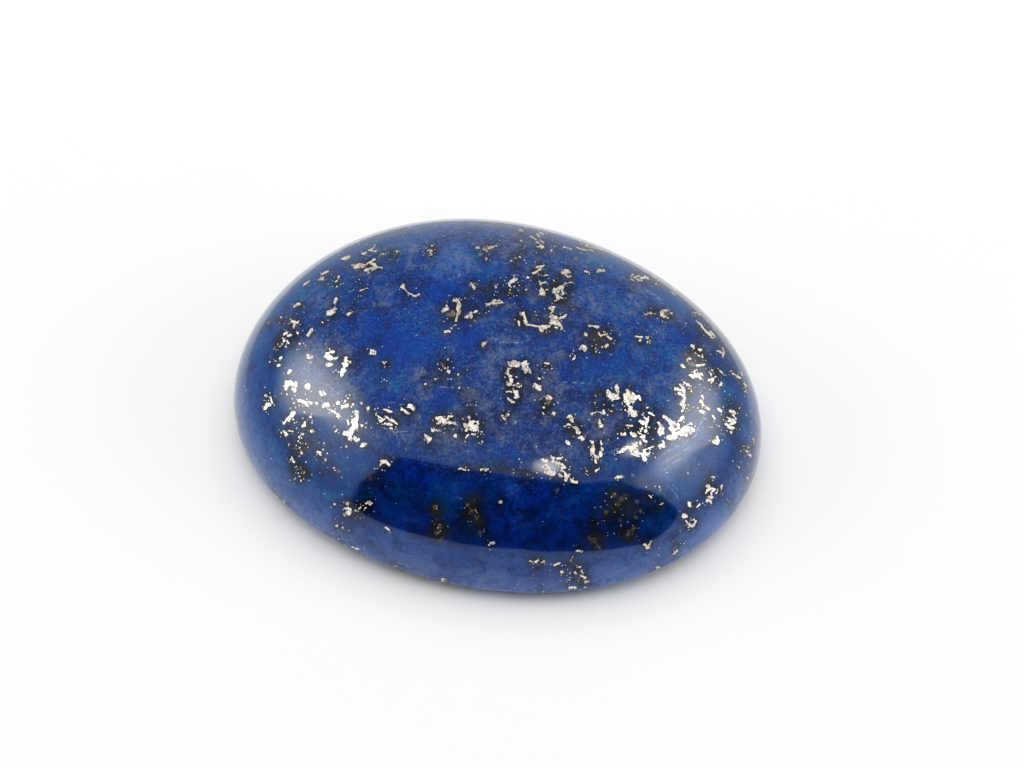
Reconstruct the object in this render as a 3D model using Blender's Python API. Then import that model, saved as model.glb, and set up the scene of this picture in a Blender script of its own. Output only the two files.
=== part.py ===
"""A polished oval lapis lazuli stone, lying on its flat base.

The stone is one solid: an even dome over a slightly uneven oval outline, a small rounded lower
edge, and a flat ground base. +X runs along its length, +Z up, and the origin is the middle of
the base, on the surface that the stone rests on.
"""

import math

import bmesh
import bpy

# Overall size, in metres
LENGTH = 0.0250
WIDTH = 0.0191
HEIGHT = 0.0090

# Section, seen from the end: the widest level, the base's share of it, and how much leaner
# than half an ellipse the dome is
GIRDLE_HEIGHT = 0.0012
BASE_SHARE = 0.86
DOME_LEAN = 0.075

# Outline, seen from above: an ellipse with a slight three-sided and four-sided unevenness
THREE_SIDED = 0.0060
THREE_SIDED_TURN = math.radians(-49.0)
FOUR_SIDED = 0.0075
FOUR_SIDED_TURN = math.radians(118.0)

# The sphere that is reshaped: its density, and how far down from its top, as an angle, the
# dome and then the rounded edge reach on it
SPHERE_DETAIL = 5
DOME_END = math.radians(105.0)
EDGE_END = math.radians(138.0)

# Surface
STONE_COLOUR = (0.020, 0.060, 0.330, 1.0)
STONE_ROUGHNESS = 0.08


def clear_scene():
    for obj in list(bpy.data.objects):
        bpy.data.objects.remove(obj, do_unlink=True)


def outline_point(turn):
    """The outline of the widest level at this angle, before it is fitted to its size."""
    uneven = (
        1.0
        + THREE_SIDED * math.cos(3.0 * turn - THREE_SIDED_TURN)
        + FOUR_SIDED * math.cos(4.0 * turn - FOUR_SIDED_TURN)
    )
    return math.cos(turn) * uneven, math.sin(turn) * uneven * WIDTH / LENGTH


def section_point(polar):
    """How wide and how high the stone is where the sphere is this far down from its top.

    The width is a share of the outline, and the height is in metres.
    """
    if polar <= DOME_END:
        fall = 0.5 * math.pi * polar / DOME_END
        share = math.sin(fall)
        rise = math.cos(fall) * (1.0 - DOME_LEAN * share**2)
        return share, GIRDLE_HEIGHT + (HEIGHT - GIRDLE_HEIGHT) * rise
    if polar <= EDGE_END:
        tuck = 0.5 * math.pi * (polar - DOME_END) / (EDGE_END - DOME_END)
        share = BASE_SHARE + (1.0 - BASE_SHARE) * math.cos(tuck)
        return share, GIRDLE_HEIGHT * (1.0 - math.sin(tuck))
    return BASE_SHARE * (math.pi - polar) / (math.pi - EDGE_END), 0.0


def fitted(values, size):
    """Moves and stretches a list of coordinates so that it is centred and exactly this long."""
    low = min(values)
    high = max(values)
    return [(value - 0.5 * (low + high)) * size / (high - low) for value in values]


def shape_stone(mesh):
    """A sphere, drawn point by point onto the stone's section and outline."""
    sphere = bmesh.new()
    bmesh.ops.create_icosphere(sphere, subdivisions=SPHERE_DETAIL, radius=1.0)
    verts = list(sphere.verts)
    along = []
    across = []
    levels = []
    for vert in verts:
        share, level = section_point(math.acos(max(-1.0, min(1.0, vert.co.z))))
        x, y = outline_point(math.atan2(vert.co.y, vert.co.x))
        along.append(share * x)
        across.append(share * y)
        levels.append(level)
    along = fitted(along, LENGTH)
    across = fitted(across, WIDTH)
    for vert, x, y, z in zip(verts, along, across, levels):
        vert.co = (x, y, z)
    bmesh.ops.recalc_face_normals(sphere, faces=sphere.faces)
    sphere.to_mesh(mesh)
    sphere.free()


def stone_material():
    material = bpy.data.materials.new("lapis_lazuli")
    material.use_nodes = True
    shader = material.node_tree.nodes["Principled BSDF"]
    shader.inputs["Base Color"].default_value = STONE_COLOUR
    shader.inputs["Roughness"].default_value = STONE_ROUGHNESS
    shader.inputs["Metallic"].default_value = 0.0
    material.diffuse_color = STONE_COLOUR
    return material


def build():
    clear_scene()
    collection = bpy.data.collections.new("lapis_lazuli_cabochon")
    bpy.context.scene.collection.children.link(collection)
    mesh = bpy.data.meshes.new("stone")
    shape_stone(mesh)
    mesh.shade_smooth()
    mesh.materials.append(stone_material())
    collection.objects.link(bpy.data.objects.new("stone", mesh))


build()
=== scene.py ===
"""The look of a polished oval lapis lazuli stone, lying on a white table.

The stone is one mesh in the frame's own size. Its blue, its pyrite flecks, the dark matrix round
them and its pale clouds are a procedural material, which the mesh steers with values painted on
its points. The flecks are strokes drawn over the photograph and laid onto the surface
along the camera's rays; those that the photograph doesn't show are scattered by a seeded rule.
Some of the colour is painted light and shade: paler low flanks, lit patches and streaks at the
rims and highlights, and dim flecks where the polish mirrors the dark in front. Lengths are in
metres, pixels are those of the 1024 x 768 photograph, and the material's textures are measured
in millimetres.
"""

import math
import random

import bmesh
import bpy
import numpy as np
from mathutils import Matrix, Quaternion, Vector
from mathutils.bvhtree import BVHTree
from mathutils.kdtree import KDTree


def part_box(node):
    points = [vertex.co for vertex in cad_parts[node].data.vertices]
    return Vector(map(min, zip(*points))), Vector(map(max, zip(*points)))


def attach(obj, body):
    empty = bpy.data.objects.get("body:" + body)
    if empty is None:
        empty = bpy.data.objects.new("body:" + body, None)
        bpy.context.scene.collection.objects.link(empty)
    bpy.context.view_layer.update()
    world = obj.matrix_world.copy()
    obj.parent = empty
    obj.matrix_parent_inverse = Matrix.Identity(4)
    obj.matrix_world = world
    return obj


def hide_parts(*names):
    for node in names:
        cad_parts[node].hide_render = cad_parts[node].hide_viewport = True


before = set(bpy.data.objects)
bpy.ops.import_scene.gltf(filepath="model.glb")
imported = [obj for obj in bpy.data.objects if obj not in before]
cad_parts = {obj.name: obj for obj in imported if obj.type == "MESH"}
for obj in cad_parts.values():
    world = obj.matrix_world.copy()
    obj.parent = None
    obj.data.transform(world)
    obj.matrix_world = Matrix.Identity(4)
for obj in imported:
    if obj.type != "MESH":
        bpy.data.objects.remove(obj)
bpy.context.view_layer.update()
stone_low, stone_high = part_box("stone")

MM = 0.001

# The stone's size comes from the frame. The rest of its shape repeats the frame's own section
# and outline: the widest level, the base's share of it, how lean the dome is, and the slight
# three-sided and four-sided unevenness of the oval.
LENGTH = stone_high.x - stone_low.x
WIDTH = stone_high.y - stone_low.y
HEIGHT = stone_high.z - stone_low.z
GIRDLE_HEIGHT = 0.0012
BASE_SHARE = 0.86
DOME_LEAN = 0.075
THREE_SIDED = 0.0060
THREE_SIDED_TURN = math.radians(-49.0)
FOUR_SIDED = 0.0075
FOUR_SIDED_TURN = math.radians(118.0)

# The sphere that is drawn onto that shape. Most of it becomes the dome.
SPHERE_DETAIL = 6
DOME_END = math.radians(125.0)
EDGE_END = math.radians(150.0)

# Camera
PHOTO_WIDTH = 1024
PHOTO_HEIGHT = 768
CAMERA_AZIMUTH = math.radians(13.80)
CAMERA_ELEVATION = math.radians(56.0)
CAMERA_DISTANCE = 0.1375
CAMERA_LENS = 104.5
CAMERA_SENSOR = 36.0
AIM_RIGHT = 0.000675
AIM_UP = -0.000634

# Pyrite flecks seen in the photograph, drawn as strokes. Each stroke is its half width
# and then the points that it runs through, in pixels.
UPPER_LEFT_FLECKS = [
    (2.6, 343.5, 258.6, 347.5, 257.4), (3.2, 355, 266, 361, 264.5), (3, 361, 264.5, 367, 267.5),
    (2.2, 366, 269, 374, 267.5), (1.4, 374, 267.5, 381.5, 267.4), (1.3, 367.5, 263.5, 374.5, 259.8),
    (1.2, 368, 270, 368.3, 273.2), (1.5, 371, 262.5, 376, 266), (1.1, 367.1, 249.8, 376, 251.5),
    (1.1, 371.6, 249.5, 374.8, 245.5), (1.4, 362.5, 253.8, 365.2, 253.2), (1.3, 397.1, 251.8),
    (0.9, 388.5, 252.7), (0.9, 383, 254), (0.8, 392.6, 254.4), (0.7, 394.5, 257.2),
    (1.7, 318.8, 279.6, 322.3, 278.8), (1.3, 321.5, 273.5, 328, 271.5), (1.5, 339, 277),
    (1.2, 335.9, 281.4), (1, 337, 286.5), (0.8, 328, 284), (1.1, 332, 275),
    (1, 303, 285, 309, 281.5), (1, 359.1, 279.3), (1.3, 360, 290.5, 367, 288), (1.1, 358.6, 295.7),
    (2.4, 403.1, 286.9), (1, 403, 287, 408, 293), (1.3, 408, 293, 415.5, 296.3, 419, 294.5),
    (1.8, 336.2, 299, 334.9, 302.8), (2.6, 329, 314, 332.5, 312.5), (1.3, 332, 310, 335.4, 308.6),
    (1, 333, 312.8, 335.3, 311.5), (1.9, 348.8, 314.6, 350.2, 313.4),
    (0.8, 350.2, 313.4, 352.8, 311.4), (1.1, 328, 320.3), (1, 322.7, 322.6),
    (1.4, 294.5, 306.5, 300.5, 304), (1, 280.8, 316.9), (1, 279.5, 322.5),
    (1.6, 290, 321.5, 297.5, 322.5), (1.4, 294, 324, 293.5, 328), (1.2, 290.5, 319, 292.5, 321),
    (1.6, 297.3, 332.7), (2, 307.3, 335, 311.2, 329.3), (1.5, 283.5, 334.5, 286, 333),
    (1.6, 288.5, 336, 290.5, 335), (1.3, 283, 338, 284, 341), (1.5, 287.5, 341, 289, 343),
    (1, 279.8, 346.5), (1, 282, 344), (1.2, 286, 346.8), (1, 274.9, 347.1), (0.9, 299.5, 343.3),
    (1.6, 280.6, 358), (1.1, 275.3, 360.8), (0.9, 269.8, 362), (2.2, 278.5, 365.6),
    (2.5, 308.5, 357.1, 310.5, 357.5), (3.6, 328.5, 355.5, 331, 357.5), (1.2, 329.6, 349),
    (1.6, 332, 352.5, 333.5, 351.5), (1.3, 333, 358, 337, 357.3), (2.5, 327.6, 365.5, 330.3, 364.5),
    (1.8, 346, 358, 345, 364), (2.3, 345, 364, 343.5, 371), (2.4, 343.5, 371, 342.3, 375.5),
    (1.1, 347, 360, 350, 362.5), (1.1, 341.5, 372.5, 337.7, 371.8), (1, 348.5, 362, 347, 366),
    (3, 372.6, 352.2, 374, 352.2), (0.8, 367.4, 349), (1.2, 384.3, 362.8), (0.7, 388, 364.5),
    (0.6, 385, 367), (1.4, 288.3, 373.5, 289.8, 370.5), (3.5, 306.5, 385.4),
    (2, 286.5, 386, 287, 382), (1.6, 291, 383, 294, 385), (1.6, 295.5, 382, 296, 386),
    (1.4, 286, 389), (1.5, 293, 389, 294.5, 390.5), (1.2, 290, 381), (1.1, 287, 394.3),
    (0.9, 397.1, 227.9), (0.8, 388.2, 231.7), (0.8, 405.4, 231), (0.7, 393.3, 229.1),
    (1.1, 425.2, 384.1), (0.6, 381.8, 381.6),
]

TOP_FLECKS = [
    (1.3, 431.8, 245.8), (1.6, 430.8, 250.8, 431, 254), (1, 428.3, 250.8), (0.8, 429, 255.5),
    (0.8, 434.5, 249.5), (2.4, 485.5, 248.5, 488, 247.5), (1.9, 488, 247, 492, 247),
    (1.2, 492, 246.5, 496.8, 246), (1.2, 486.5, 250.5), (2, 478.1, 248), (1.7, 486.5, 258.9),
    (1.3, 511, 260.8), (0.8, 513.5, 259.5), (1.2, 519.9, 256.9), (0.7, 520.9, 254),
    (0.7, 515.4, 257.4), (0.7, 482.9, 220.6), (0.8, 494.4, 223.1), (0.9, 502, 222.5),
    (1.6, 520.3, 229.4), (1, 526.3, 226.6), (1, 516.3, 233.2), (1, 520.9, 240.6),
    (0.6, 525.6, 248.6), (0.6, 508.4, 226.6), (0.7, 522.4, 231), (1.2, 531, 236, 536, 239.5),
    (1.1, 537.5, 233, 539, 238), (1.1, 539.5, 232, 543.5, 234.5), (1.1, 536.5, 242, 542, 244.5),
    (1.2, 537, 246.5, 543, 246.5), (1.2, 540, 239, 543.5, 243), (0.9, 541.5, 248.5),
    (0.8, 547, 233.3), (1.5, 551.1, 249.9), (0.9, 555, 246.1), (0.7, 556.9, 242.8),
    (0.8, 563.9, 247, 571.6, 248.9), (1, 577, 247.5, 582, 249.8, 592, 250),
    (0.9, 585, 246, 593, 247.5), (0.9, 595, 248.8, 603, 249.3), (0.8, 581, 244, 588, 244.5),
    (1.5, 536.5, 266.5, 543.5, 266), (1.5, 542, 267.5, 537, 271.5), (1.4, 537, 271.5, 533.5, 273),
    (1.3, 538, 273, 539, 275), (1.1, 543.1, 263.3), (1.2, 544, 275.8, 548, 275.2),
    (1.5, 527.6, 278.2), (1.3, 539.5, 281, 541.5, 285.5), (1.2, 541.5, 284, 545.5, 282.3),
    (2.6, 540.5, 293, 544, 293), (2, 541.5, 288.5, 542.5, 291), (1.2, 546, 290, 547.5, 289.3),
    (1.5, 562.5, 272.5, 569.5, 271.8), (1.2, 564.5, 270, 568, 270.3), (1.3, 566, 275, 567.5, 276.5),
    (1, 570, 276.5), (1.8, 554.1, 281.4), (1.3, 572, 282.3, 566, 283, 561.5, 286.5),
    (2.4, 560.5, 287.5, 558, 290.5), (1.6, 563, 287, 562, 291), (1.4, 554.5, 289, 553.5, 293),
    (1.5, 556.5, 294, 558.5, 299), (1.3, 556, 298, 561, 297.5), (1.1, 562, 294.5, 564.5, 293.5),
    (1.2, 555.5, 300.5, 557, 299.5), (0.9, 565.5, 301.5), (1, 562.5, 298),
    (1.2, 584.8, 271, 589.3, 272.5), (1.9, 598, 270.8, 603, 270.8), (2, 511.5, 282, 515, 279.5),
    (1.2, 514, 276, 514.3, 278), (1.1, 509, 283, 510, 286), (1.3, 510.1, 289.7),
    (1.1, 509.7, 293.5), (1, 514.4, 286.3), (1.1, 519, 289.7), (1, 519.3, 285.3),
    (1.3, 525.9, 289.7), (0.8, 519.9, 293.5), (2.3, 495.7, 287.2), (0.8, 498.2, 284),
    (0.8, 490.8, 280.8), (0.8, 487.8, 288.8), (0.7, 497, 291.6), (2.6, 472.3, 285.3, 473.8, 287.5),
    (0.8, 469.8, 282.8, 475.5, 283.5), (0.8, 478.4, 290.4), (0.8, 473.7, 295.2),
    (1.6, 486, 304.5, 490, 304), (2.3, 493, 303.5, 501.5, 303), (1.2, 494, 300.8, 499, 300.5),
    (1.2, 486.5, 306.5, 487, 304), (2.6, 443.5, 310.5, 446.5, 308.5),
    (1.2, 446.5, 305.5, 447.5, 309), (1.4, 453.5, 300.3, 457.5, 299.8),
    (2, 458, 301.5, 459.8, 305.5), (1.3, 458.5, 306, 458, 310), (2.1, 459.5, 311.5, 457.5, 315.5),
    (1.3, 457, 316, 455.8, 320.5), (2.4, 467.5, 316.8, 471.5, 315), (1.2, 465, 317.5),
    (1.3, 474.5, 313.5, 476.3, 310.5), (1, 471, 318.5), (0.8, 482.7, 308.9),
    (1.4, 444.3, 332.6, 448.8, 331.8), (1.1, 452, 327.5, 455.3, 325), (0.7, 440.6, 322.5),
    (1.2, 515.4, 319.1), (1.2, 520, 314.5, 524, 312.2), (1.2, 518.6, 321.5, 519.2, 325.5),
    (1.3, 524, 314.5, 525.5, 318.5), (1.7, 525, 318.5, 526.5, 324), (1.2, 526.5, 324.5, 533, 325.8),
    (1.5, 533, 325.8, 541, 327), (2.6, 541.5, 329.5, 544.5, 328.5), (1.8, 541, 327, 549, 326.5),
    (4.2, 552.5, 321, 557, 322.5), (3, 551.5, 317, 555, 319), (1.7, 559, 319.5, 565.5, 316),
    (1.5, 559, 324, 561.5, 328.5), (1.3, 550, 314, 552, 312), (1.2, 555, 327, 558, 327.5),
    (2.6, 550, 308.5, 552.3, 308), (0.8, 548, 333.7), (0.8, 520.5, 315.9), (0.6, 536.5, 315.2),
    (1.7, 483, 344.8, 485.8, 342.4), (0.7, 572.8, 309.9),
]

CENTRE_FLECKS = [
    (1.2, 447.6, 359.5), (0.8, 444.6, 368.2), (1.7, 448.7, 372), (0.9, 447.8, 369.4),
    (1.2, 458.7, 374.2), (1.8, 436.1, 379), (0.8, 438.5, 378), (1.3, 459.3, 387.9),
    (0.8, 466, 390.9), (3, 512, 364, 517, 364.5), (1.6, 508.8, 363, 510, 365.5),
    (2.6, 524, 366.5, 526.5, 370.5), (1.5, 522, 364, 525.5, 361.5), (1.4, 529.5, 372.5),
    (2, 526, 364.5, 528, 368), (1.3, 529, 369, 530.8, 372.5), (1.5, 508.5, 368.5, 507, 373),
    (2, 507.5, 373.5, 510, 377), (1.8, 510.5, 377, 511.5, 382), (1.7, 508.5, 384.5, 511, 383.5),
    (1.2, 505.5, 373), (2.1, 515, 385.5, 518.5, 383.5), (1.2, 519, 386.5, 521, 386),
    (1.3, 513.5, 388), (0.8, 515.4, 376.5), (1.2, 506.5, 391.5, 510.5, 391.5),
    (2, 516.5, 392.5, 518, 396), (1.5, 507.5, 398, 512, 401.5), (1.3, 512, 401.5, 514.5, 402.5),
    (1.3, 514.5, 397.5, 516, 398.5), (1.2, 544.8, 363, 549.5, 363.8), (0.8, 545, 366),
    (0.7, 551.8, 368.5), (1.2, 539, 378.6), (2.6, 536.5, 386.5, 539.5, 388), (1, 533.5, 386.8),
    (2.8, 547.5, 397, 550.5, 398), (0.9, 539, 399.2), (1.2, 544.1, 407.4),
    (2.3, 582.5, 346.5, 585.5, 348.5), (1, 579.5, 349, 581, 347.5), (1.3, 572, 360.5, 575.5, 357),
    (0.9, 569.8, 356.5, 570.3, 354.5), (1.3, 473.7, 405.8), (0.8, 469.9, 404.5),
    (2, 410, 406, 413, 409), (1.1, 401.5, 409.5, 404.5, 410.5), (1.1, 404, 411.5, 409, 413.5),
    (2.8, 426.5, 437.5, 428.5, 438.5), (1.3, 424, 439.5), (0.9, 428, 442),
    (1.6, 432.5, 430.7, 440, 430.5), (1.7, 437, 419, 441.5, 417), (1.6, 438, 423.5, 440, 421.5),
    (1.9, 442, 418.5, 444, 420.5), (1.7, 444.5, 423, 449, 423.5), (1.5, 449, 416.5, 452, 416.5),
    (1.8, 450, 421.5, 455.5, 423.5), (1.3, 446, 420.5, 448, 419), (1.2, 441.5, 425.5, 444, 426),
    (2, 465, 425.5, 466.5, 427.5), (3.6, 471.5, 425, 475.5, 427), (2.4, 471, 428.5, 476, 429.5),
    (1.6, 477.5, 422, 478.5, 423.5), (1.6, 470, 422.5, 475, 421.5), (1.3, 468.5, 416, 469, 418),
    (1.2, 466.5, 430.5), (1, 462.5, 419), (1.8, 455.5, 435.7), (1.1, 465.5, 437.5, 468.5, 434.5),
    (1.3, 472.5, 434.3, 475.5, 434.2), (1.3, 482.3, 442), (0.9, 481.6, 431.9),
    (2.3, 501.5, 415.5, 503.5, 416), (2.6, 506, 415.8, 507.5, 415),
    (2.4, 504.5, 418.5, 505.5, 419.5), (2.1, 555, 412.8), (1.2, 543.5, 407.6), (1.2, 542.9, 413.1),
    (0.7, 549.2, 416.6), (2.8, 570, 417.5, 571.5, 421), (2, 567.5, 424, 570.5, 424.5),
    (1.2, 564, 426, 567, 425), (1.5, 572.5, 427), (2.8, 576.5, 429.5, 579, 433),
    (2, 574.5, 427.5, 576.5, 429), (1.9, 582, 437, 582.5, 438.5), (1.3, 579.5, 437.5),
    (2, 566.5, 441, 568, 443), (1.2, 542, 459.5, 547, 461.5), (2.6, 553, 462, 558, 463),
    (1.4, 551, 455.5, 553.5, 458.5), (1.3, 557.5, 459, 562, 457.5), (1.2, 560, 463, 563, 465.5),
    (1.3, 562, 468, 565, 467), (4, 546.5, 471, 551.5, 472.5), (3, 545, 467.5, 549, 468),
    (2, 553, 474, 554.5, 473), (1.6, 559, 474.5, 561, 475.5), (1.8, 562, 471, 565, 472),
    (1.8, 566, 476, 569.5, 474.5), (1.5, 566, 480, 567, 477.5), (1.2, 574, 482, 577, 482.3),
    (1.2, 570.5, 479, 572, 481.5), (1.2, 458.5, 469.5, 461, 468.3, 465, 469.5), (0.9, 469, 469.5),
    (1.7, 480.5, 470, 484, 468.5), (1.4, 483.5, 465.5), (1.2, 485, 470.5, 488, 469),
    (1, 495, 464.4), (0.8, 499.5, 465), (0.5, 503, 467.5), (0.5, 509, 470), (0.5, 516, 469),
    (0.5, 523, 472), (0.5, 530, 474.5), (0.5, 537, 473),
]

RIGHT_FLECKS = [
    (1.1, 630.5, 276.5, 633, 274), (1.3, 634, 278, 640, 275), (1.5, 641, 278.5, 646, 276.5),
    (1.4, 645, 275.5, 648, 279), (1.1, 637, 279.5, 643, 281), (0.9, 631, 279, 634, 280.5),
    (0.9, 653, 276.5, 656, 278), (1, 658.5, 280.5), (0.8, 656, 284), (1.2, 672, 291.5, 675, 295),
    (0.9, 682, 297), (0.8, 689.3, 300.8), (1.3, 645.5, 314.8, 650.5, 313, 655.5, 314),
    (0.9, 651, 308.5), (1.6, 661.5, 311.5, 661.8, 315, 664.5, 317), (1.4, 662, 311, 667, 310),
    (1.7, 671, 313.5, 672.5, 313), (1.3, 665, 317.5, 668.5, 317.8),
    (1, 692, 313.3, 696, 312.5, 700, 314.5), (0.8, 693.7, 309), (0.9, 707, 321.2),
    (1.2, 685.7, 323.4), (1, 696, 321, 702, 325), (1.1, 702, 326, 706, 332),
    (1.6, 706, 331, 711, 335), (1.2, 710, 331, 715, 336.5), (1, 711, 337.5, 714, 338),
    (0.9, 703.5, 338.5), (0.9, 714, 329), (1.4, 589, 326, 598, 327.2), (2, 586, 334),
    (1, 599, 333, 600.5, 335), (1.1, 601, 335.3, 607.5, 334.3), (0.9, 603, 332, 606, 332.5),
    (1, 607, 336, 611, 339), (1.3, 614, 342.9), (1.3, 605.5, 346.5, 608, 344.8), (1.2, 595.5, 348),
    (1, 602.5, 346.7), (0.9, 612, 338.4), (0.8, 596, 351.8), (1.2, 636, 336.5, 641.5, 337.2),
    (1.3, 638.5, 340.5, 640.5, 340), (1.5, 647.5, 337, 648, 342), (1.2, 648, 341.5, 650.5, 340.8),
    (1.4, 692, 345.5, 693.5, 348), (1.3, 697, 350.5, 700.5, 350), (1.6, 697.5, 355, 699.5, 356),
    (1.8, 687, 359.5, 689.5, 358.5), (1.1, 695, 352.5, 696, 354), (1.3, 702, 355.5, 703, 357.5),
    (1.4, 682, 365.5, 684.5, 367.5), (1.3, 697, 365.5, 704, 365), (1, 690, 352),
    (2.4, 694, 374, 697.5, 376), (2, 698, 373.5, 702, 374.5), (1.5, 690, 375, 693, 377),
    (1.4, 700, 378, 702, 378.5), (1.2, 694.5, 371.5, 696.5, 370), (1.2, 718, 351, 722, 352.5),
    (1.1, 722, 347.5, 724, 352.5, 722.5, 357), (1.3, 708.5, 371.5, 711, 374.5), (1, 712.5, 370.5),
    (2.1, 719.8, 371, 722.3, 372.5), (0.9, 718, 368.5), (1.6, 708.5, 380, 712.5, 379.5),
    (1.1, 711, 382), (1.5, 719.5, 385.5, 721.5, 383), (0.9, 711, 386.6), (1, 715, 376.7),
    (1.1, 718.6, 380.5), (1, 733, 373.5, 735, 375), (1.2, 737, 376.5, 741, 378),
    (1, 741, 372, 742, 376), (0.9, 731.5, 371), (1, 744, 383.5), (1.2, 745.8, 385.4),
    (1.1, 745, 391.7), (1.2, 684, 382.5, 688, 384.5, 691.5, 386), (1.5, 680, 384.5, 682.5, 388),
    (1.2, 675.5, 389, 678, 389), (1.8, 682, 390, 684.5, 392), (1.5, 679.5, 393, 682, 395),
    (2, 684.5, 395, 684.5, 400), (2.2, 683, 401, 684, 405), (1.6, 681.5, 404.5, 683, 408.5),
    (1.6, 682, 410.5), (1, 691.5, 391.5), (0.9, 689, 388.5), (2.2, 616.5, 387.5, 617.5, 391),
    (3, 609.5, 394.5, 615, 396.5), (2.8, 613, 398, 617, 397), (1.9, 608, 391.5, 611, 394),
    (4.4, 625.5, 396.5, 631, 395.5), (4, 631, 396, 633.5, 398), (3.4, 624.5, 400, 628, 401.5),
    (1.8, 626.5, 390.5, 629, 392.5), (1.3, 638.8, 396, 640.3, 399.5), (1, 629.5, 386),
    (3.5, 630, 409, 633, 412.5), (2.4, 634, 414.5, 636, 415), (1.2, 628, 407), (1.2, 625.5, 410),
    (1.5, 595.5, 395.6), (0.8, 600, 394.5), (1.2, 594.9, 402.8), (1.2, 603.8, 404.7),
    (1, 612.7, 405.8), (1.4, 646.9, 407.9), (1.2, 649.5, 413, 654, 415.5), (1, 612, 411),
    (1.1, 591.5, 414, 597.5, 411.3, 603.5, 414), (1.2, 603.5, 410, 604.5, 413),
    (1.9, 599.5, 422, 600.8, 426), (1.1, 599.3, 419.8), (1.5, 703, 405, 709, 408.5),
    (1.4, 701, 401.5, 703, 403.5), (1.2, 700.5, 411, 703, 412.5), (1, 702, 396, 704, 398),
    (1, 697, 408), (1, 728.8, 400.3), (1.2, 728.8, 403.5), (1.1, 718, 408.5, 721, 411.5),
    (1.1, 713, 416, 715, 418.5), (0.9, 739.6, 407.7), (0.7, 710.3, 426.8),
    (1.8, 731, 410.5, 734.5, 412.5), (1.5, 733, 415, 735.5, 418), (1.4, 727, 417, 730, 419.5),
    (1.4, 729, 421, 733, 419.5), (1.3, 726, 424, 729.5, 426), (1.5, 731, 424, 734.5, 422.5),
    (1.6, 729.5, 427, 733.5, 428.5), (1.2, 731, 432.5), (0.7, 751, 421.5),
    (2.2, 592.5, 447, 593, 453), (1.8, 592.8, 442.5), (1.6, 601, 440.5, 601.5, 445),
    (1.5, 601, 447.5, 602.5, 449.5), (1.6, 600.5, 452.5, 601, 455), (2, 595.3, 459.5, 595.8, 463),
    (1.5, 594.5, 455, 596.5, 457), (1.2, 590.5, 451.5, 591, 455), (1.1, 585, 468, 587.5, 471.5),
    (1.4, 587.9, 475.2), (1.2, 595.5, 471, 599.5, 468.5), (1, 592.5, 466.5),
    (1.9, 622, 433.8, 624, 433.8), (1, 622.8, 430), (0.8, 617.2, 433.8),
    (0.9, 626.5, 425.5, 632, 426), (2, 632.5, 433.5, 635, 434.8), (1.3, 640.5, 431, 642.5, 428),
    (1.3, 644, 422, 646.5, 427), (1.2, 648, 418.5, 646.5, 423), (1.4, 641, 437, 644, 436),
    (1.3, 645, 432, 647, 429), (1.3, 640.5, 421, 643, 424), (1.1, 642.5, 415, 645, 418.5),
    (1.5, 643.5, 440, 646, 441.5), (1, 638, 432, 640, 434), (1, 648.5, 434),
    (1.1, 640, 441.5, 641, 444), (1, 649, 427.5), (0.9, 613.5, 454.5, 622, 451.5),
    (1.7, 622, 451, 628, 447.5), (3, 630, 447.5, 635, 446.5), (3.4, 633, 451, 637, 452.5),
    (2.6, 639, 453.5, 644, 455), (1.6, 643.5, 457, 645, 459.5),
    (1.5, 644.5, 451.5, 648, 454.5, 650, 452.5), (1.2, 632, 443.5, 637, 443),
    (1, 646, 449.5, 653, 446.5), (1, 648, 456), (1.6, 658.5, 422.5, 661, 426),
    (1.8, 661, 426, 662.5, 430), (2.2, 665, 417, 668, 421), (3, 669, 421.5, 674, 423),
    (1.6, 678, 422, 683, 417), (2.2, 675, 423, 678, 425), (1.8, 671, 427, 673, 430),
    (2.2, 661, 432, 663, 428), (2, 660.5, 433.5, 663.5, 432), (3, 668, 437.5, 672, 438),
    (2.6, 675, 437, 674, 433), (2.6, 676.5, 433.5, 682, 433), (3.2, 683, 430, 688, 429),
    (2.4, 688, 431.5, 692.5, 431.5), (1.6, 687, 425, 690.5, 424), (2.2, 681, 434.5, 686, 434),
    (2.6, 661, 445, 664, 446.5), (1.2, 659, 443), (1.4, 662.5, 441, 664, 443),
    (1.5, 676, 429.5, 679, 428), (1.8, 713.5, 441.5, 717, 443), (1.3, 717.5, 437, 718, 440),
    (1, 753, 438, 754.5, 445), (1, 746, 450.5, 748, 452), (1.1, 748.5, 454.5, 751, 456),
    (1, 748.5, 447), (0.8, 744.5, 446), (1, 739, 467.6), (1.3, 747.3, 478), (1, 728.2, 500.8),
    (1, 720.5, 490, 721.5, 486), (1.4, 716, 493, 718, 490.5), (1.9, 712.6, 476.9),
    (0.9, 713.5, 480.4), (1.5, 706.5, 486, 709.5, 487), (1.8, 708, 490, 712, 489),
    (1.4, 712, 491.5, 714.5, 489.5), (1.7, 709, 496.5, 711.5, 497.5),
    (1.6, 707.5, 501, 710.5, 501.5), (1.1, 706, 493, 707, 490.5), (1.1, 711, 493, 711.5, 495),
    (1.8, 689.3, 503, 689.7, 505.8), (1, 697, 507, 699.5, 504.5), (1.8, 683.8, 515.5, 686, 516.5),
    (1.5, 686, 521, 688, 523.5), (1.3, 689, 524.5, 692.5, 526.5), (1.3, 694.5, 525, 696, 521),
    (1.2, 691, 520.5, 694, 519.5), (1.2, 688.5, 527),
]

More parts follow.
